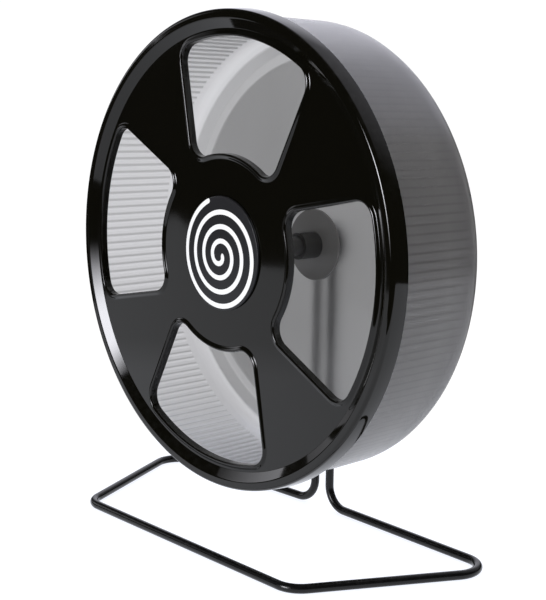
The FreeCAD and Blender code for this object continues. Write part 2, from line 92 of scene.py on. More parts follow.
# Boss behind the plate's middle, with a well for the bolt head and seats for bush and tube
BOSS_RADIUS = 11.0
BOSS_BACK = 29.55
BOSS_ROUND = 0.5
WELL_RADIUS = 9.0
WELL_FLOOR = 13.5
TUBE_FRONT = 23.55
TUBE_SEAT = 6.15
BUSH_SEAT = 5.55

# Cap with a hollow plug that sits in the well
CAP_RADIUS = 33.7
CAP_CROWN = 0.9
CAP_EDGE = 2.2
CAP_EDGE_ROUND = 0.6
CAP_UNDERSIDE = 2.6
CAP_RISE = CAP_EDGE - CAP_CROWN
PLUG_RADIUS = 8.95
PLUG_BORE = 7.65
PLUG_BACK = 9.5

# Drum: tapered side with ribs, a ledge, a cone and the back wall
DRUM_FRONT = 3.0
DRUM_FRONT_RADIUS = 137.8
DRUM_FRONT_ROUND = 0.5
DRUM_BACK_RADIUS = 136.4
DRUM_WALL = 2.2
CORNER_INSIDE_ROUND = 5.8
CORNER_OUTSIDE_ROUND = 8.0
LEDGE_INSIDE = 73.5
LEDGE_OUTSIDE = 75.3
CONE_OUTER = 127.4
CONE_INNER = 122.0
CONE_ROUND = 2.0
BACK_INSIDE = 78.2
BACK_OUTSIDE = 80.0
BACK_HOLE = 7.05
RIB_COUNT = 176
RIB_HEIGHT = 0.8
RIB_FRONT = 14.0
RIB_BACK = 63.5
RIB_RUNOUT = 0.7
RIB_ROWS = (26.0, 38.0, 50.0)

# Stand bent from one rod
WIRE_RADIUS = 2.65
BASE_BEND = 16.0
FOOT_BEND = 14.0
LOOP_FRONT = -26.35
LOOP_FRONT_HALF_WIDTH = 96.5
LOOP_BACK_HALF_WIDTH = 151.75
LOOP_CORNER_AHEAD = 5.4
UPRIGHT_DEPTH = 89.0
UPRIGHT_HALF_GAP = 6.7
UPRIGHT_TOP = 8.5

# Camera at the photograph's place
CAMERA_TURN = math.radians(48.4339)
CAMERA_TILT = math.radians(9.2789)
CAMERA_ROLL = math.radians(0.7864)
CAMERA_PLACE = (577.19, -467.84, 94.37)
CAMERA_LENS = 76.82

# Fineness of the meshes; points closer than the gap, in metres, are one
AROUND = 320
CAP_AROUND = 160
DOME_STEPS = 16
ROUND_STEPS = 6
BEAD_STEPS = 6
WINDOW_CORNER_STEPS = 10
WINDOW_HALF_STEPS = 14
RIB_STEPS = 8
MERGE_GAP = 1e-6


def at_wheel(across, depth, up):
    """A point given from the axle in millimetres, in the frame that all pieces share."""
    return Vector((across * MM, RIM_Y + depth * MM, AXLE_Z + up * MM))


def rounded(corners):
    """Polyline through (depth, radius, rounding) corners with arcs of those radii."""
    line = []
    count = len(corners)
    for index, (depth, radius, rounding) in enumerate(corners):
        here = Vector((depth, radius))
        if rounding == 0.0:
            line.append(here)
            continue
        before = Vector(corners[index - 1][:2]) - here
        after = Vector(corners[(index + 1) % count][:2]) - here
        before.normalize()
        after.normalize()
        half = before.angle(after) / 2.0
        centre = here + (before + after).normalized() * (rounding / math.sin(half))
        first = here + before * (rounding / math.tan(half)) - centre
        last = here + after * (rounding / math.tan(half)) - centre
        sweep = math.atan2(first.cross(last), first.dot(last))
        for step in range(ROUND_STEPS + 1):
            line.append(centre + Matrix.Rotation(sweep * step / ROUND_STEPS, 2) @ first)
    return line


def arc(centre, radius, start, end, steps):
    """Points on an arc between two angles, with both ends."""
    points = []
    for step in range(steps + 1):
        angle = start + (end - start) * step / steps
        across = centre[0] + radius * math.cos(angle)
        up = centre[1] + radius * math.sin(angle)
        points.append(Vector((across, up)))
    return points


# Nodes


def node(tree, kind, inputs=None, **settings):
    """Add a node, set its properties, then fill or link its inputs by name or number."""
    made = tree.nodes.new(kind)
    for name, value in settings.items():
        setattr(made, name, value)
    for key, value in (inputs or {}).items():
        socket = made.inputs[key]
        if isinstance(value, bpy.types.NodeSocket):
            tree.links.new(value, socket)
        else:
            socket.default_value = value
    return made


def math_node(tree, operation, *values):
    """Result of one operation on values or sockets."""
    return node(tree, "ShaderNodeMath", dict(enumerate(values)), operation=operation).outputs[0]


def split(tree, vector):
    """The three parts of a vector."""
    return node(tree, "ShaderNodeSeparateXYZ", {0: vector}).outputs


def dot(tree, first, second):
    """How far one vector runs along another."""
    made = node(tree, "ShaderNodeVectorMath", {0: first, 1: second}, operation="DOT_PRODUCT")
    return made.outputs["Value"]


def ramp(tree, value, span, ends=(0.0, 1.0), form="LINEAR"):
    """Value that runs from one end to the other over a span, and holds its ends beyond it."""
    inputs = dict(enumerate((value, *span, *ends)))
    return node(tree, "ShaderNodeMapRange", inputs, interpolation_type=form).outputs[0]


def tint(tree, amount, low, high):
    """Colour between two colours, each given as three values or as a socket."""
    ends = [end if isinstance(end, bpy.types.NodeSocket) else (*end, 1.0) for end in (low, high)]
    mix = node(tree, "ShaderNodeMix", {0: amount, 6: ends[0], 7: ends[1]}, data_type="RGBA")
    return mix.outputs[2]


def noise(tree, scale, detail):
    """Noise that stays on the piece."""
    spot = node(tree, "ShaderNodeTexCoord").outputs["Object"]
    made = node(tree, "ShaderNodeTexNoise", {"Vector": spot, "Scale": scale, "Detail": detail})
    return made.outputs[0]


# Geometry trees and meshes


def geometry_tree(name, measures, counts):
    """An empty tree whose inputs are geometry, a finish, and the named measures and counts."""
    tree = bpy.data.node_groups.new(name, "GeometryNodeTree")
    kinds = {"Geometry": "Geometry", "Finish": "Material"}
    kinds.update({label: "Float" for label in measures})
    kinds.update({label: "Int" for label in counts})
    for label, kind in kinds.items():
        tree.interface.new_socket(label, in_out="INPUT", socket_type=f"NodeSocket{kind}")
    tree.interface.new_socket("Geometry", in_out="OUTPUT", socket_type="NodeSocketGeometry")
    return tree, tree.nodes.new("NodeGroupInput").outputs


def close_tree(tree, size, geometry):
    """End a tree: real geometry, smooth, with its finish."""
    real = node(tree, "GeometryNodeRealizeInstances", {"Geometry": geometry}).outputs[0]
    smooth = node(tree, "GeometryNodeSetShadeSmooth", {"Geometry": real}).outputs[0]
    finish = node(tree, "GeometryNodeSetMaterial", {0: smooth, "Material": size["Finish"]}).outputs[0]
    node(tree, "NodeGroupOutput", {0: finish})


def point_value(tree, label):
    """Value that a line's points carry."""
    return node(tree, "GeometryNodeInputNamedAttribute", {"Name": label}, data_type="FLOAT").outputs[0]


def settle(mesh_object):
    """Replace a modified object's mesh by its plain result."""
    depsgraph = bpy.context.evaluated_depsgraph_get()
    plain = bpy.data.meshes.new_from_object(mesh_object.evaluated_get(depsgraph), depsgraph=depsgraph)
    mesh_object.modifiers.clear()
    mesh_object.data = plain
    return mesh_object


def keep_outward(work, mesh):
    """Merge doubles, turn every face outwards and keep the result in the mesh."""
    bmesh.ops.remove_doubles(work, verts=work.verts, dist=MERGE_GAP)
    bmesh.ops.recalc_face_normals(work, faces=work.faces)
    if work.calc_volume(signed=True) < 0.0:
        bmesh.ops.reverse_faces(work, faces=work.faces)
    work.to_mesh(mesh)
    work.free()


def even_normals(mesh_object):
    """Let large flat faces lead the shading, so that flats stay flat beside rounded edges."""
    modifier = mesh_object.modifiers.new("even", "WEIGHTED_NORMAL")
    modifier.weight = 75
    modifier.keep_sharp = True


def new_object(name, data):
    """An object in the scene that holds a mesh or a camera."""
    made = bpy.data.objects.new(name, data)
    scene.collection.objects.link(made)
    return made


def grow(name, mesh, tree, finish, **sizes):
    """Run a geometry tree on a mesh and keep the plain result."""
    made = new_object(name, mesh)
    modifier = made.modifiers.new("shape", "NODES")
    modifier.node_group = tree
    sizes["Finish"] = finish
    for item in tree.interface.items_tree:
        if item.in_out == "INPUT" and item.name in sizes:
            modifier[item.identifier] = sizes[item.name]
    settle(made)
    work = bmesh.new()
    work.from_mesh(made.data)
    keep_outward(work, made.data)
    made.data.shade_smooth()
    even_normals(made)
    return settle(made)


def line_mesh(points, label=None, values=()):
    """Open polyline mesh, with a named value on each point where a label is given."""
    mesh = bpy.data.meshes.new("line")
    mesh.from_pydata(points, [(index, index + 1) for index in range(len(points) - 1)], [])
    if label is not None:
        mesh.attributes.new(label, "FLOAT", "POINT").data.foreach_set("value", values)
    return mesh


def turned_tree():
    """Turns a profile about the axle, with ribs where its mark is 1 and only their painted shade lines where
    it is -1.
    """
    tree, size = geometry_tree(
        "turned_on_the_axle",
        measures=["Rib height", "Rim depth", "Axle height"],
        counts=["Around", "Rows", "Rib steps"],
    )
    columns = math_node(tree, "ADD", size["Around"], 1.0)
    grid = node(tree, "GeometryNodeMeshGrid", {"Vertices X": columns, "Vertices Y": size["Rows"]})
    index = node(tree, "GeometryNodeInputIndex").outputs[0]
    share = math_node(tree, "DIVIDE", math_node(tree, "ADD", index, 0.5), size["Rows"])
    column = math_node(tree, "FLOOR", share)
    row = math_node(tree, "SUBTRACT", index, math_node(tree, "MULTIPLY", column, size["Rows"]))

    def at_row(value, kind):
        source = {"Geometry": size["Geometry"], "Value": value, "Index": row}
        return node(tree, "GeometryNodeSampleIndex", source, data_type=kind).outputs[0]

    place = split(tree, at_row(node(tree, "GeometryNodeInputPosition").outputs[0], "FLOAT_VECTOR"))
    mark = at_row(point_value(tree, "rib_mark"), "FLOAT")
    # A rib takes three of the steps in its pitch, up, along the top and down, and its painted shade line the
    # fourth
    step = math_node(tree, "MODULO", column, size["Rib steps"])
    on_top = math_node(tree, "COMPARE", step, 1.5, 0.6)
    on_shade_line = math_node(tree, "COMPARE", step, 3.5, 0.6)
    ribbed = math_node(tree, "MULTIPLY", on_top, math_node(tree, "MAXIMUM", mark, 0.0))
    lift = math_node(tree, "MULTIPLY", ribbed, size["Rib height"])
    radius = math_node(tree, "SUBTRACT", place[2], lift)
    turn = math_node(tree, "MULTIPLY", math_node(tree, "DIVIDE", column, size["Around"]), math.tau)
    across = math_node(tree, "MULTIPLY", radius, math_node(tree, "SINE", turn))
    up = math_node(tree, "MULTIPLY", radius, math_node(tree, "COSINE", turn))
    spot = node(tree, "ShaderNodeCombineXYZ", {
        0: across,
        1: math_node(tree, "ADD", place[1], size["Rim depth"]),
        2: math_node(tree, "ADD", up, size["Axle height"]),
    }).outputs[0]
    # Painted shade: a line along one flank of each rib, which the drum's finish darkens
    lined = node(tree, "GeometryNodeStoreNamedAttribute", {
        "Geometry": grid.outputs[0],
        "Name": "painted_rib_shade",
        "Value": math_node(tree, "MULTIPLY", on_shade_line, mark),
    }, data_type="FLOAT", domain="POINT").outputs[0]
    moved = node(tree, "GeometryNodeSetPosition", {"Geometry": lined, "Position": spot}).outputs[0]
    merged = node(tree, "GeometryNodeMergeByDistance", {"Geometry": moved, "Distance": MERGE_GAP})
    close_tree(tree, size, merged.outputs[0])
    return tree


TURNED = turned_tree()


def turned_piece(name, profile, around, finish, rib_marks=None):
    """A piece turned from a profile of (depth, radius), which closes on itself or ends on the axle."""
    marks = rib_marks or [0.0] * len(profile)
    points = [(0.0, depth * MM, radius * MM) for depth, radius in profile]
    sizes = {
        "Around": around,
        "Rows": len(profile),
        "Rib steps": RIB_STEPS,
        "Rib height": RIB_HEIGHT * MM,
        "Rim depth": RIM_Y,
        "Axle height": AXLE_Z,
    }
    return grow(name, line_mesh(points, "rib_mark", marks), TURNED, finish, **sizes)


# Finishes

PATCH_SPAN = (0.3, 0.7)
DARK_DUST = (0.1, 0.1, 0.1)


def shader_group(name, inputs, outputs):
    """An empty shader group with named values in and out."""
    group = bpy.data.node_groups.new(name, "ShaderNodeTree")
    for label, value in inputs.items():
        socket = group.interface.new_socket(label, in_out="INPUT", socket_type="NodeSocketFloat")
        socket.default_value = value
    for label in outputs:
        group.interface.new_socket(label, in_out="OUTPUT", socket_type="NodeSocketFloat")
    return group, group.nodes.new("NodeGroupInput").outputs


def moulding_group():
    """Faint waviness of moulded plastic and patchy polish."""
    scales = {"Wave scale": 40.0, "Grain scale": 900.0, "Patch scale": 14.0}
    grain_height = 0.06
    group, given = shader_group("moulded_surface", scales, ["Height", "Patch"])
    wave = noise(group, given["Wave scale"], 1.0)
    grain = noise(group, given["Grain scale"], 2.0)
    patch = noise(group, given["Patch scale"], 5.0)
    height = math_node(group, "ADD", wave, math_node(group, "MULTIPLY", grain, grain_height))
    node(group, "NodeGroupOutput", {"Height": height, "Patch": patch})
    return group


def dust_group():
    """Dust that settles on faces that look up."""
    speck_scale, speck_detail = 260.0, 6.0
    group, given = shader_group("settled_dust", {"Amount": 0.2}, ["Mask"])
    upward = split(group, node(group, "ShaderNodeNewGeometry").outputs["Normal"])[2]
    facing = ramp(group, upward, (0.2, 1.0))
    specks = ramp(group, noise(group, speck_scale, speck_detail), (0.45, 0.75))
    mask = math_node(group, "MULTIPLY", math_node(group, "MULTIPLY", facing, specks), given["Amount"])
    node(group, "NodeGroupOutput", {"Mask": mask})
    return group


MOULDING = moulding_group()
DUST = dust_group()


def new_finish(name, **constants):
    """A material with one Principled shader and its constant values."""
    material = bpy.data.materials.new(name)
    material.use_nodes = True
    tree = material.node_tree
    shader = tree.nodes["Principled BSDF"]
    for label, value in constants.items():
        shader.inputs[label.replace("_", " ")].default_value = value
    return material, tree, shader


def place_group(tree, group, **values):
    """Put a shared group into a material with its own values."""
    return node(tree, "ShaderNodeGroup", values, node_tree=group).outputs


def plain_finish(name, colour, rough, wave=0.1, dust=0.1, dust_colour=DARK_DUST, **constants):
    """Moulded plastic, paint, print or plating: patchy polish, faint waves and a little dust."""
    material, tree, shader = new_finish(name, **constants)
    surface = place_group(tree, MOULDING)
    settled = place_group(tree, DUST, Amount=dust)
    tree.links.new(tint(tree, settled["Mask"], colour, dust_colour), shader.inputs["Base Color"])
    tree.links.new(ramp(tree, surface["Patch"], PATCH_SPAN, rough), shader.inputs["Roughness"])
    bump = node(tree, "ShaderNodeBump", {"Height": surface["Height"], "Strength": wave, "Distance": MM})
    tree.links.new(bump.outputs[0], shader.inputs["Normal"])
    return material


def wheel_place(tree):
    """Depth behind the rim, distance from the axle, and how far the surface faces away from the axle."""
    spot = node(tree, "ShaderNodeTexCoord").outputs
    place = split(tree, spot["Object"])
    depth = math_node(tree, "SUBTRACT", place[1], RIM_Y)
    up = math_node(tree, "SUBTRACT", place[2], AXLE_Z)
    arm = node(tree, "ShaderNodeCombineXYZ", {0: place[0], 2: up}).outputs[0]
    radius = node(tree, "ShaderNodeVectorMath", {0: arm}, operation="LENGTH").outputs["Value"]
    return depth, radius, math_node(tree, "DIVIDE", dot(tree, arm, spot["Normal"]), radius)


def smoke_inside(tree, radius, in_wall, line, upward):
    """Tint within the drum: pale side with painted shade lines along the ribs, then cone, ring and back wall;
    painted shade makes it dimmer at the bottom.
    """
    side = (0.59, 0.59, 0.61)
    painted_rib_shade = (0.36, 0.36, 0.365)
    cone = (0.37, 0.37, 0.38)
    ring = (0.43, 0.43, 0.44)
    wall = (0.275, 0.275, 0.28)
    cone_edge = (128.7 * MM, 127.5 * MM)
    ring_edge = (122.5 * MM, 121.5 * MM)
    colour = tint(tree, ramp(tree, radius, cone_edge), side, cone)
    colour = tint(tree, ramp(tree, radius, ring_edge), colour, ring)
    colour = tint(tree, in_wall, colour, wall)
    colour = tint(tree, line, colour, painted_rib_shade)
    # Painted shade: surfaces that face up, as at the drum's bottom inside, are darker
    painted_bottom_shade = ramp(tree, upward, (0.15, 0.85), (1.0, 0.85))
    return node(tree, "ShaderNodeVectorMath", {0: colour, "Scale": painted_bottom_shade}, operation="SCALE").outputs[0]


def smoke_outside(tree, depth, line, upward):
    """Tint of the outer skin: dark, with darker painted shade lines along the ribs, painted shade darkest at
    the back corner and painted light on top.
    """
    skin = (0.16, 0.152, 0.145)
    painted_rib_shade = (0.115, 0.109, 0.104)
    corner = (0.056, 0.0535, 0.052)
    painted_top_light = (0.38, 0.38, 0.45)
    corner_shade_start = (47.0 * MM, 68.0 * MM)
    colour = tint(tree, math_node(tree, "MULTIPLY", line, -1.0), skin, painted_rib_shade)
    # Painted shade: the skin grows darker towards the back corner
    colour = tint(tree, ramp(tree, depth, corner_shade_start), colour, corner)
    # Painted light: faces that look up are lighter
    return tint(tree, ramp(tree, upward, (0.5, 0.98)), colour, painted_top_light)


def smoky_plastic():
    """See-through smoke grey with a misty back wall, tinted one way within and another on its skin."""
    wall_edge = (116.5 * MM, 115.5 * MM)
    side_to_wall_mist = (0.42, 0.55)
    material, tree, shader = new_finish(
        "smoky_plastic", Transmission_Weight=1.0, IOR=1.3, Coat_Weight=0.4, Coat_Roughness=0.12, Coat_IOR=1.45
    )
    depth, radius, away = wheel_place(tree)
    surface = node(tree, "ShaderNodeNewGeometry").outputs
    upward = split(tree, surface["Normal"])[2]
    # Painted shade lines along one flank of each rib, within the drum and on its skin
    line = node(tree, "ShaderNodeAttribute", attribute_name="painted_rib_shade").outputs["Fac"]
    in_wall = ramp(tree, radius, wall_edge)
    within = smoke_inside(tree, radius, in_wall, line, upward)
    without = smoke_outside(tree, depth, line, upward)
    # The skin's tint acts only where a surface faces away from the axle and light comes in from outside
    entering = math_node(tree, "SUBTRACT", 1.0, surface["Backfacing"])
    on_skin = math_node(tree, "MULTIPLY", entering, ramp(tree, away, (0.0, 0.2)))
    tree.links.new(tint(tree, on_skin, within, without), shader.inputs["Base Color"])
    mist = ramp(tree, in_wall, (0.0, 1.0), side_to_wall_mist)
    patch = place_group(tree, MOULDING)["Patch"]
    rough = math_node(tree, "ADD", mist, ramp(tree, patch, PATCH_SPAN, (-0.02, 0.03)))
    tree.links.new(rough, shader.inputs["Roughness"])
    return material


GLOSS_BLACK = plain_finish(
    "gloss_black", (0.003, 0.0027, 0.0015), rough=(0.04, 0.07), wave=0.03, IOR=1.42, Specular_IOR_Level=0.42
)
CAP_GREY = plain_finish(
    "cap_grey", (0.012, 0.012, 0.014), rough=(0.3, 0.38), wave=0.08, dust=0.15, Specular_IOR_Level=0.25
)
PRINT_WHITE = plain_finish(
    "print_white", (0.95, 0.95, 0.95), rough=(0.35, 0.45), wave=0.05, dust_colour=(0.8, 0.8, 0.8)
)
SATIN_BLACK = plain_finish("satin_black", (0.012, 0.012, 0.013), rough=(0.3, 0.42), dust=0.2)
TUBE_BLACK = plain_finish(
    "tube_black", (0.045, 0.044, 0.042), rough=(0.3, 0.42), dust=0.2, dust_colour=(0.12, 0.12, 0.12)
)
HUB_GREY = plain_finish(
    "hub_grey", (0.19, 0.186, 0.18), rough=(0.2, 0.3), wave=0.08, dust=0.15, dust_colour=(0.15, 0.15, 0.15)
)
BUSH_WHITE = plain_finish(
    "bush_white", (0.72, 0.71, 0.67), rough=(0.35, 0.5), wave=0.08, dust_colour=(0.5, 0.5, 0.5)
)
WIRE_PAINT = plain_finish(
    "wire_paint", (0.003, 0.003, 0.003), rough=(0.16, 0.26), wave=0.12, Specular_IOR_Level=0.3
)
ZINC = plain_finish(
    "zinc", (0.62, 0.63, 0.65), rough=(0.25, 0.4), dust_colour=(0.4, 0.4, 0.4), Metallic=1.0
)
SMOKE = smoky_plastic()


# Wheel


def window_outline(growth):
    """Outline of one window, moved outwards by growth, with as many points at every growth."""
    outer = WINDOW_OUTER + growth
    inner = WINDOW_INNER - growth
    corner = WINDOW_CORNER + growth
    offset = WINDOW_OFFSET + growth
    middle = offset - corner
    normal = Vector((math.cos(WINDOW_LEAN), -math.sin(WINDOW_LEAN)))
    along = Vector((math.sin(WINDOW_LEAN), math.cos(WINDOW_LEAN)))
    top = normal * middle + along * math.sqrt((outer - corner) ** 2 - middle ** 2)
    low = normal * middle + along * math.sqrt((inner + corner) ** 2 - middle ** 2)
    top_angle = math.atan2(top.y, top.x)
    low_angle = math.atan2(low.y, low.x)
    axle = (0.0, 0.0)
    upright = math.pi / 2.0
    half = arc(axle, inner, upright, low_angle, WINDOW_HALF_STEPS)[:-1]
    half += arc(low, corner, math.pi + low_angle, math.tau - WINDOW_LEAN, WINDOW_CORNER_STEPS)
    half += arc(top, corner, -WINDOW_LEAN, top_angle, WINDOW_CORNER_STEPS)
    half += arc(axle, outer, top_angle, upright, WINDOW_HALF_STEPS)[1:]
    mirrored = [Vector((-point.x, point.y)) for point in reversed(half[1:-1])]
    return half + mirrored


def rim_profile():
    """From the web's front over the rim's crest and skirt to the web's back."""
    crest_inner = WHEEL_RADIUS - CREST_WIDTH
    skirt_radius = WHEEL_RADIUS + SKIRT_FLARE
    return rounded([
        (WEB_FRONT, BEVEL_INNER - BEVEL_FOOT_FLAT, 0.0),
        (WEB_FRONT, BEVEL_INNER, BEVEL_FOOT_ROUND),
        (0.0, crest_inner, CREST_ROUND),
        (0.0, WHEEL_RADIUS, CREST_ROUND),
        (SKIRT_DEPTH, skirt_radius, SKIRT_ROUND),
        (SKIRT_DEPTH, skirt_radius - SKIRT_WALL, SKIRT_ROUND),
        (RIM_WALL, WHEEL_RADIUS - SKIRT_WALL, RIM_INNER_ROUND),
        (RIM_WALL, crest_inner - BEVEL_BACK_OFFSET, RIM_INNER_ROUND),
        (WEB_BACK, BEVEL_INNER - BEVEL_BACK_OFFSET, 0.0),
    ])


def boss_profile():
    """From the web's back over the boss and through its bore to the web's front."""
    return rounded([
        (WEB_BACK, BOSS_RADIUS, 0.0),
        (BOSS_BACK, BOSS_RADIUS, BOSS_ROUND),
        (BOSS_BACK, TUBE_SEAT, 0.0),
        (TUBE_FRONT, TUBE_SEAT, 0.0),
        (TUBE_FRONT, BUSH_SEAT, 0.0),
        (WELL_FLOOR, BUSH_SEAT, 0.0),
        (WELL_FLOOR, WELL_RADIUS, 0.0),
        (WEB_FRONT, WELL_RADIUS, 0.0),
    ])


def window_profile():
    """From the web's front over a window's bead and lip to the web's back, as (depth, growth)."""
    profile = []
    for share in (step / BEAD_STEPS for step in range(BEAD_STEPS)):
        rise = BEAD_HEIGHT * (0.5 - 0.5 * math.cos(math.pi * share))
        profile.append((WEB_FRONT - rise, BEAD_WIDTH - (BEAD_WIDTH - BEAD_CREST) * share))
    for turn in (math.pi / 2.0 * step / BEAD_STEPS for step in range(BEAD_STEPS + 1)):
        fall = BEAD_FALL * (1.0 - math.cos(turn))
        profile.append((WEB_FRONT - BEAD_HEIGHT + fall, BEAD_CREST * (1.0 - math.sin(turn))))
    return profile + [
        (LIP_BACK - LIP_INNER_EDGE, 0.0),
        (LIP_BACK, LIP_INNER_EDGE),
        (LIP_BACK, LIP_WIDTH - LIP_OUTER_EDGE),
        (LIP_BACK - LIP_OUTER_EDGE, LIP_WIDTH),
        (WEB_BACK, LIP_WIDTH),
    ]


def ring_points(work, depth, radius):
    """Ring of points round the axle."""
    turns = [math.tau * step / AROUND for step in range(AROUND)]
    places = [at_wheel(radius * math.sin(turn), depth, radius * math.cos(turn)) for turn in turns]
    return [work.verts.new(place) for place in places]


def window_points(work, depth, growth, number):
    """Ring of points round one of the windows."""
    spin = Matrix.Rotation(math.tau * number / WINDOW_COUNT - WINDOW_TURN, 2)
    outline = [spin @ point for point in window_outline(growth)]
    return [work.verts.new(at_wheel(point.x, depth, point.y)) for point in outline]


def neighbours(ring):
    """Each point of a ring with the next one."""
    return zip(ring, ring[1:] + ring[:1])


def bridge(work, rings):
    """Faces from each ring to the next."""
    for near, far in zip(rings, rings[1:]):
        for (near_here, near_next), (far_here, far_next) in zip(neighbours(near), neighbours(far)):
            work.faces.new((near_here, near_next, far_next, far_here))


def fill_web(work, borders, facing):
    """One flat side of the web, filled between its border rings."""
    edges = [work.edges.get(pair) for ring in borders for pair in neighbours(ring)]
    bmesh.ops.triangle_fill(work, use_beauty=True, edges=edges, normal=(0.0, facing, 0.0))


def flatten_web(mesh):
    """Shade the plate's web as one flat, up to where its rounded edges begin."""
    sharp_angle = math.radians(40.0)
    flat_facing = 0.9999
    web_start = (BOSS_RADIUS + 1.0) * MM
    front_y = RIM_Y + WEB_FRONT * MM
    mesh.set_sharp_from_angle(angle=sharp_angle)
    normals = []
    for face in mesh.polygons:
        for index in face.vertices:
            place = mesh.vertices[index].co
            reach = math.hypot(place.x, place.z - AXLE_Z)
            if abs(place.y - front_y) < MERGE_GAP and reach > web_start:
                normals.append((0.0, -1.0, 0.0))
            elif abs(face.normal.y) > flat_facing:
                normals.append(tuple(face.normal))
            else:
                normals.append((0.0, 0.0, 0.0))
    mesh.normals_split_custom_set(normals)


def make_plate():
    """Front plate: rim, skirt and boss turned, web filled flat round four beaded windows."""
    work = bmesh.new()
    rim = [ring_points(work, depth, radius) for depth, radius in rim_profile()]
    boss = [ring_points(work, depth, radius) for depth, radius in boss_profile()]
    bridge(work, rim)
    bridge(work, boss)
    front_borders = [rim[0], boss[-1]]
    back_borders = [rim[-1], boss[0]]
    for number in range(WINDOW_COUNT):
        rings = [window_points(work, depth, growth, number) for depth, growth in window_profile()]
        bridge(work, rings)
        front_borders.append(rings[0])
        back_borders.append(rings[-1])
    fill_web(work, front_borders, -1.0)
    fill_web(work, back_borders, 1.0)
    mesh = bpy.data.meshes.new("plate_shell")
    keep_outward(work, mesh)
    mesh.materials.append(GLOSS_BLACK)
    mesh.shade_smooth()
    flatten_web(mesh)
    plate = new_object("plate_shell", mesh)
    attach(plate, "wheel")
    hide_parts("front_plate")


def drum_side(depth):
    """Radius of the drum's running surface at a depth."""
    narrowing = DRUM_FRONT_RADIUS - DRUM_BACK_RADIUS
    taper = narrowing * (depth - DRUM_FRONT) / (LEDGE_INSIDE - DRUM_FRONT)
    return DRUM_FRONT_RADIUS - DRUM_WALL - taper


def make_drum():
    """Drum with ribs on its running surface, and their painted shade lines on its outside."""
    full_ribs = (RIB_FRONT + RIB_RUNOUT, *RIB_ROWS, RIB_BACK - RIB_RUNOUT)
    running = [Vector((depth, drum_side(depth))) for depth in (RIB_FRONT, *full_ribs, RIB_BACK)]
    outside = [Vector((depth, drum_side(depth) + DRUM_WALL)) for depth in (RIB_BACK, RIB_FRONT)]
    shell = rounded([
        (LEDGE_INSIDE, DRUM_BACK_RADIUS - DRUM_WALL, CORNER_INSIDE_ROUND),
        (LEDGE_INSIDE, CONE_OUTER, CONE_ROUND),
        (BACK_INSIDE, CONE_INNER, CONE_ROUND),
        (BACK_INSIDE, BACK_HOLE, 0.0),
        (BACK_OUTSIDE, BACK_HOLE, 0.0),
        (BACK_OUTSIDE, CONE_INNER, CONE_ROUND),
        (LEDGE_OUTSIDE, CONE_OUTER, CONE_ROUND),
        (LEDGE_OUTSIDE, DRUM_BACK_RADIUS, CORNER_OUTSIDE_ROUND),
        (DRUM_FRONT, DRUM_FRONT_RADIUS, DRUM_FRONT_ROUND),
        (DRUM_FRONT, DRUM_FRONT_RADIUS - DRUM_WALL, DRUM_FRONT_ROUND),
    ])
    # The last two corners round the front edge, and the outside with its painted rib shade lines lies before
    # them
    edge_points = 2 * (ROUND_STEPS + 1)
    back, front_edge = shell[:-edge_points], shell[-edge_points:]
    stretches = [
        (running[:1], 0.0),
        (running[1:-1], 1.0),
        (running[-1:] + back, 0.0),
        (outside, -1.0),
        (front_edge + running[:1], 0.0),
    ]
    profile = [point for points, _ in stretches for point in points]
    rib_marks = [mark for points, mark in stretches for _ in points]
    drum = turned_piece("drum_shell", profile, RIB_COUNT * RIB_STEPS, SMOKE, rib_marks)
    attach(drum, "wheel")
    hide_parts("drum")


def make_cap():
    """Domed cap over the bolt head."""
    sphere = (CAP_RADIUS ** 2 + CAP_RISE ** 2) / (2.0 * CAP_RISE)
    near_middle = 1.0

    def on_dome(radius):
        return CAP_CROWN + sphere - math.sqrt(sphere ** 2 - radius ** 2), radius

    dome = [Vector(on_dome(CAP_RADIUS * step / DOME_STEPS)) for step in range(DOME_STEPS)]
    edge = rounded([
        (*on_dome(near_middle), 0.0),
        (CAP_EDGE, CAP_RADIUS, CAP_EDGE_ROUND),
        (WEB_FRONT, CAP_RADIUS, 0.0),
        (WEB_FRONT, PLUG_RADIUS, 0.0),
        (PLUG_BACK, PLUG_RADIUS, 0.0),
        (PLUG_BACK, PLUG_BORE, 0.0),
        (CAP_UNDERSIDE, PLUG_BORE, 0.0),
        (CAP_UNDERSIDE, 0.0, 0.0),
    ])
    cap = turned_piece("cap_shell", dome + edge[1:], CAP_AROUND, CAP_GREY)
    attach(cap, "wheel")
    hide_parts("hub_cap")


def round_ends(tree, width):
    """Scale along a curve that rounds the ends of a line of this width."""
    along = node(tree, "GeometryNodeSplineParameter").outputs["Length"]
    whole = node(tree, "GeometryNodeSplineLength").outputs["Length"]
    to_end = math_node(tree, "MINIMUM", along, math_node(tree, "SUBTRACT", whole, along))
    in_halves = math_node(tree, "DIVIDE", to_end, math_node(tree, "MULTIPLY", width, 0.5))
    short = math_node(tree, "SUBTRACT", 1.0, math_node(tree, "MINIMUM", in_halves, 1.0))
    # A little over one, so that the very end keeps some width
    left = math_node(tree, "SUBTRACT", 1.0001, math_node(tree, "MULTIPLY", short, short))
    return math_node(tree, "SQRT", left)


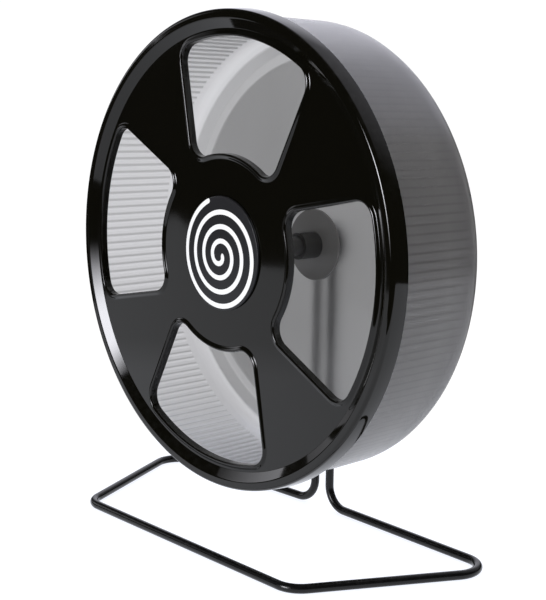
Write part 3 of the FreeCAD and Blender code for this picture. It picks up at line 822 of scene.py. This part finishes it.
def spiral_tree():
    """Printed spiral: a flat line with round ends, laid on the cap's dome."""
    tree, size = geometry_tree(
        "printed_spiral",
        measures=[
            "Turns", "Start radius", "End radius", "Start angle", "Line width", "Film", "Step length",
            "Shift", "Drop", "Crown depth", "Dome radius", "Rim depth", "Axle height",
        ],
        counts=["Steps in a turn"],
    )
    path = node(tree, "GeometryNodeCurveSpiral", {
        "Resolution": size["Steps in a turn"],
        "Rotations": size["Turns"],
        "Start Radius": size["Start radius"],
        "End Radius": size["End radius"],
        "Height": 0.0,
    }).outputs[0]
    spacing = {"Curve": path, "Length": size["Step length"]}
    even = node(tree, "GeometryNodeResampleCurve", spacing, mode="LENGTH").outputs[0]
    upright = node(tree, "GeometryNodeSetCurveNormal", {"Curve": even}, mode="Z_UP").outputs[0]
    band = node(tree, "GeometryNodeCurvePrimitiveQuadrilateral", {
        "Width": size["Line width"],
        "Height": size["Film"],
    }).outputs[0]
    ribbon = node(tree, "GeometryNodeCurveToMesh", {
        "Curve": upright,
        "Profile Curve": band,
        "Scale": round_ends(tree, size["Line width"]),
        "Fill Caps": True,
    }).outputs[0]
    position = node(tree, "GeometryNodeInputPosition").outputs[0]
    turning = {"Vector": position, "Angle": size["Start angle"]}
    turned = split(tree, node(tree, "ShaderNodeVectorRotate", turning, rotation_type="Z_AXIS").outputs[0])
    across = math_node(tree, "ADD", turned[0], size["Shift"])
    up = math_node(tree, "SUBTRACT", turned[1], size["Drop"])
    reach = math_node(tree, "ADD", *[math_node(tree, "MULTIPLY", part, part) for part in (across, up)])
    sag = math_node(tree, "DIVIDE", reach, math_node(tree, "MULTIPLY", size["Dome radius"], 2.0))
    depth = math_node(tree, "ADD", math_node(tree, "ADD", sag, size["Crown depth"]), size["Rim depth"])
    spot = node(tree, "ShaderNodeCombineXYZ", {
        0: across,
        1: math_node(tree, "SUBTRACT", depth, turned[2]),
        2: math_node(tree, "ADD", up, size["Axle height"]),
    }).outputs[0]
    laid = node(tree, "GeometryNodeSetPosition", {"Geometry": ribbon, "Position": spot}).outputs[0]
    close_tree(tree, size, laid)
    return tree


def make_spiral():
    """White spiral on the cap, running clockwise outwards, from its start to its end in degrees."""
    pitch, first_radius = 8.45, 2.4
    start, end = -35.0, 1331.0
    sizes = {
        "Turns": (end - start) / 360.0,
        "Steps in a turn": 220,
        "Step length": 0.3 * MM,
        "Start radius": (first_radius + pitch * start / 360.0) * MM,
        "End radius": (first_radius + pitch * end / 360.0) * MM,
        "Start angle": math.radians(-start),
        "Line width": 2.9 * MM,
        "Film": 0.1 * MM,
        "Shift": 1.1 * MM,
        "Drop": 1.2 * MM,
        "Crown depth": CAP_CROWN * MM,
        "Dome radius": (CAP_RADIUS ** 2 / (2.0 * CAP_RISE)) * MM,
        "Rim depth": RIM_Y,
        "Axle height": AXLE_Z,
    }
    # The tree makes the whole line, so the mesh that it starts from is a stub
    stub = line_mesh([(0.0, 0.0, 0.0), (0.0, 0.0, MM)])
    spiral = grow("cap_spiral", stub, spiral_tree(), PRINT_WHITE, **sizes)
    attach(spiral, "wheel")


# Stand


def rod_tree():
    """Round rod along a path whose corners are bent to each point's own radius."""
    tree, size = geometry_tree("bent_rod", measures=["Rod radius"], counts=["Bend steps", "Sides"])
    path = node(tree, "GeometryNodeMeshToCurve", {"Mesh": size["Geometry"]}).outputs[0]
    bent = node(tree, "GeometryNodeFilletCurve", {
        "Curve": path,
        "Count": size["Bend steps"],
        "Radius": point_value(tree, "bend"),
    }, mode="POLY").outputs[0]
    section = node(tree, "GeometryNodeCurvePrimitiveCircle", {
        "Resolution": size["Sides"],
        "Radius": size["Rod radius"],
    }).outputs[0]
    rod = node(tree, "GeometryNodeCurveToMesh", {
        "Curve": bent,
        "Profile Curve": section,
        "Fill Caps": True,
    }).outputs[0]
    close_tree(tree, size, rod)
    return tree


def make_rod():
    """Stand bent from one rod: upright, floor loop, upright."""
    front_y = RIM_Y + LOOP_FRONT * MM
    upright_y = RIM_Y + UPRIGHT_DEPTH * MM
    corner_y = upright_y - LOOP_CORNER_AHEAD * MM
    floor = WIRE_RADIUS * MM
    top = AXLE_Z + UPRIGHT_TOP * MM
    right = [
        (LOOP_FRONT_HALF_WIDTH * MM, front_y, floor, BASE_BEND),
        (LOOP_BACK_HALF_WIDTH * MM, corner_y, floor, BASE_BEND),
        (UPRIGHT_HALF_GAP * MM, upright_y, floor, FOOT_BEND),
        (UPRIGHT_HALF_GAP * MM, upright_y, top, 0.0),
    ]
    route = [(-x, y, z, bend) for x, y, z, bend in reversed(right)] + right
    line = line_mesh([point[:3] for point in route], "bend", [point[3] * MM for point in route])
    sizes = {"Rod radius": WIRE_RADIUS * MM, "Bend steps": 18, "Sides": 32}
    rod = grow("stand_rod", line, rod_tree(), WIRE_PAINT, **sizes)
    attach(rod, "stand")
    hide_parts("stand_wire")


def dress_nodes():
    """Finishes of the pieces that keep their solid."""
    finishes = {
        "hub_tube": TUBE_BLACK,
        "rear_flange": HUB_GREY,
        "retaining_ring": SATIN_BLACK,
        "front_bush": BUSH_WHITE,
        "rear_bush": BUSH_WHITE,
        "stand_head": SATIN_BLACK,
        "head_cover": SATIN_BLACK,
        "clamp_screws": ZINC,
        "axle_bolt": ZINC,
        "axle_sleeve": ZINC,
        "front_washer": ZINC,
        "thrust_washer": ZINC,
        "nut_washer": ZINC,
        "axle_nut": ZINC,
    }
    for name, finish in finishes.items():
        nodes[name].data.materials.clear()
        nodes[name].data.materials.append(finish)


# Studio, in metres


def make_floor():
    """Pale table top that glows as painted light, given as (across, away) corners in the camera's direction,
    its glow dimmer at its left.
    """
    across = Vector((math.cos(CAMERA_TURN), math.sin(CAMERA_TURN), 0.0))
    away = Vector((-math.sin(CAMERA_TURN), math.cos(CAMERA_TURN), 0.0))
    left_end = [(-2.05, 0.42), (-1.25, 0.16), (-1.2, 0.02)]
    near_edge = [(-0.45, -0.43), (1.12, -0.43)]
    far_edge = [(1.12, 0.2), (-0.3, 0.2)]
    outline = left_end + near_edge + far_edge
    dim_to_bright, glow = (-0.62, -0.46), (0.61, 0.9)
    mesh = bpy.data.meshes.new("floor")
    mesh.from_pydata([across * u + away * v for u, v in outline], [], [tuple(range(len(outline)))])
    material, tree, shader = new_finish(
        "floor_white",
        Base_Color=(0.25, 0.25, 0.25, 1.0),
        Roughness=0.9,
        Emission_Color=(0.97, 1.0, 1.09, 1.0),
    )
    sideways = dot(tree, node(tree, "ShaderNodeTexCoord").outputs["Object"], across)
    # The glow is painted light: it keeps the floor white and its shadows faint, and dims at the left
    tree.links.new(ramp(tree, sideways, dim_to_bright, glow), shader.inputs["Emission Strength"])
    mesh.materials.append(material)
    floor = new_object("floor", mesh)


def make_card(name, sides, heights, rise, fall, glow):
    """Upright soft light that shows only in gloss: it brightens and dims again between pairs of heights."""
    (left, right), (low, high) = sides, heights
    mesh = bpy.data.meshes.new(name)
    mesh.from_pydata([(*left, low), (*right, low), (*right, high), (*left, high)], [], [(0, 1, 2, 3)])
    material = bpy.data.materials.new(name)
    material.use_nodes = True
    tree = material.node_tree
    tree.nodes.clear()
    height = split(tree, node(tree, "ShaderNodeTexCoord").outputs["Object"])[2]
    shares = [ramp(tree, height, span, form="SMOOTHSTEP") for span in (rise, fall)]
    strength = math_node(tree, "MULTIPLY", math_node(tree, "MULTIPLY", *shares), glow)
    light = node(tree, "ShaderNodeEmission", {"Color": (1.0, 1.0, 1.06, 1.0), "Strength": strength})
    node(tree, "ShaderNodeOutputMaterial", {"Surface": light.outputs[0]})
    mesh.materials.append(material)
    card = new_object(name, mesh)
    for ray in ("camera", "diffuse", "transmission", "shadow"):
        setattr(card, f"visible_{ray}", False)


def make_cards():
    """A bright card in front of the wheel and two dim ones at its left."""
    make_card(
        "front_card", sides=[(-0.3, -1.5), (0.18, -1.5)], heights=(0.0, 0.8),
        rise=(0.05, 0.44), fall=(0.76, 0.56), glow=33.0,
    )
    make_card(
        "left_card", sides=[(-1.3, -0.95), (-1.3, -0.3)], heights=(0.35, 0.95),
        rise=(0.34, 0.35), fall=(0.92, 0.38), glow=2.6,
    )
    make_card(
        "back_card", sides=[(-1.45, -0.22), (-1.45, 0.12)], heights=(0.0, 0.28),
        rise=(-0.02, 0.0), fall=(0.29, 0.27), glow=0.6,
    )


def make_studio():
    """White surroundings for what is looked at, through or lit, and dim ones for gloss."""
    daylight = 1.05
    ceiling_side = (0.0, 0.6, 0.8)
    back_left = (-0.655, 0.655, 0.38)
    scene.world = bpy.data.worlds.new("studio")
    scene.world.use_nodes = True
    tree = scene.world.node_tree
    toward = node(tree, "ShaderNodeTexCoord").outputs["Generated"]
    path = node(tree, "ShaderNodeLightPath").outputs
    # Through the plastic the surroundings are dimmer below and a little brighter above
    seen_through = ramp(tree, split(tree, toward)[2], (-0.45, -0.05), (-0.3, 0.1))
    change = math_node(tree, "MULTIPLY", path["Is Transmission Ray"], seen_through)
    backdrop = tree.nodes["Background"]
    backdrop.inputs["Color"].default_value = (1.0, 1.0, 1.0, 1.0)
    tree.links.new(math_node(tree, "ADD", daylight, change), backdrop.inputs["Strength"])
    # Gloss mirrors a dark room with a soft ceiling light and a bright patch at the back left
    ceiling = ramp(tree, dot(tree, toward, ceiling_side), (0.7, 1.0), (0.02, 0.6), form="SMOOTHSTEP")
    patch = ramp(tree, dot(tree, toward, back_left), (0.86, 0.985), (0.0, 1.2))
    strength = math_node(tree, "ADD", ceiling, patch)
    room = node(tree, "ShaderNodeBackground", {"Color": (0.95, 0.95, 1.05, 1.0), "Strength": strength})
    mirrored = math_node(tree, "GREATER_THAN", path["Is Glossy Ray"], path["Is Transmission Ray"])
    mix = node(tree, "ShaderNodeMixShader", {0: mirrored, 1: backdrop.outputs[0], 2: room.outputs[0]})
    tree.links.new(mix.outputs[0], tree.nodes["World Output"].inputs["Surface"])


def make_camera():
    """Camera at the photograph's place: turned, tilted and rolled as it was."""
    flat = math.cos(CAMERA_TILT)
    back = Vector((math.sin(CAMERA_TURN) * flat, -math.cos(CAMERA_TURN) * flat, math.sin(CAMERA_TILT)))
    right = Vector((math.cos(CAMERA_TURN), math.sin(CAMERA_TURN), 0.0))
    level = Matrix((right, back.cross(right), back)).transposed().to_4x4()
    roll = Matrix.Rotation(CAMERA_ROLL, 4, "Z")
    camera = new_object("camera", bpy.data.cameras.new("camera"))
    camera.matrix_world = Matrix.Translation(at_wheel(*CAMERA_PLACE)) @ level @ roll
    camera.data.lens = CAMERA_LENS
    camera.data.clip_start = 0.01
    scene.camera = camera


make_plate()
make_drum()
make_cap()
make_spiral()
make_rod()
dress_nodes()
make_floor()
make_cards()
make_studio()
make_camera()
scene.view_settings.view_transform = "Standard"
